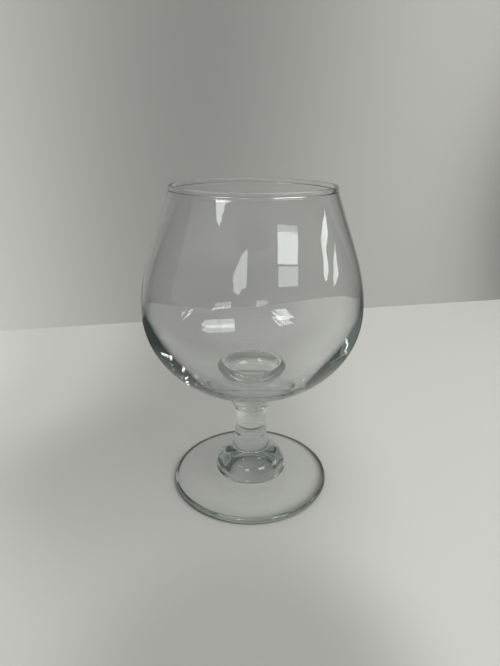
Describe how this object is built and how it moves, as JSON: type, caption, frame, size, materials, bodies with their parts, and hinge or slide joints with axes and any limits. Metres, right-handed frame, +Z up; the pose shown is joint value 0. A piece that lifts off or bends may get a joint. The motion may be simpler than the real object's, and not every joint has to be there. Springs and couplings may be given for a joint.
{
  "type": "brandy glass",
  "caption": "Clear stemmed brandy glass: a wide-bellied bowl drawn in to a beaded rim, on a short waisted stem with a bell and a flat round foot. Holds a poured drink.",
  "frame": {"origin": "middle of the ring that the foot stands on, on the table", "axes": "+Z up the axis of the glass, from the foot to the rim; the glass is round, so X and Y are free"},
  "size_m": [0.089, 0.089, 0.13],
  "materials": {
    "foot_glass": "pressed clear soda-lime glass, fire-polished",
    "stem_glass": "drawn clear soda-lime glass",
    "bowl_glass": "blown clear soda-lime glass, fire-polished rim"
  },
  "bodies": {
    "root": {"foot": "foot_glass", "stem": "stem_glass", "bowl": "bowl_glass"}
  },
  "joints": []
}
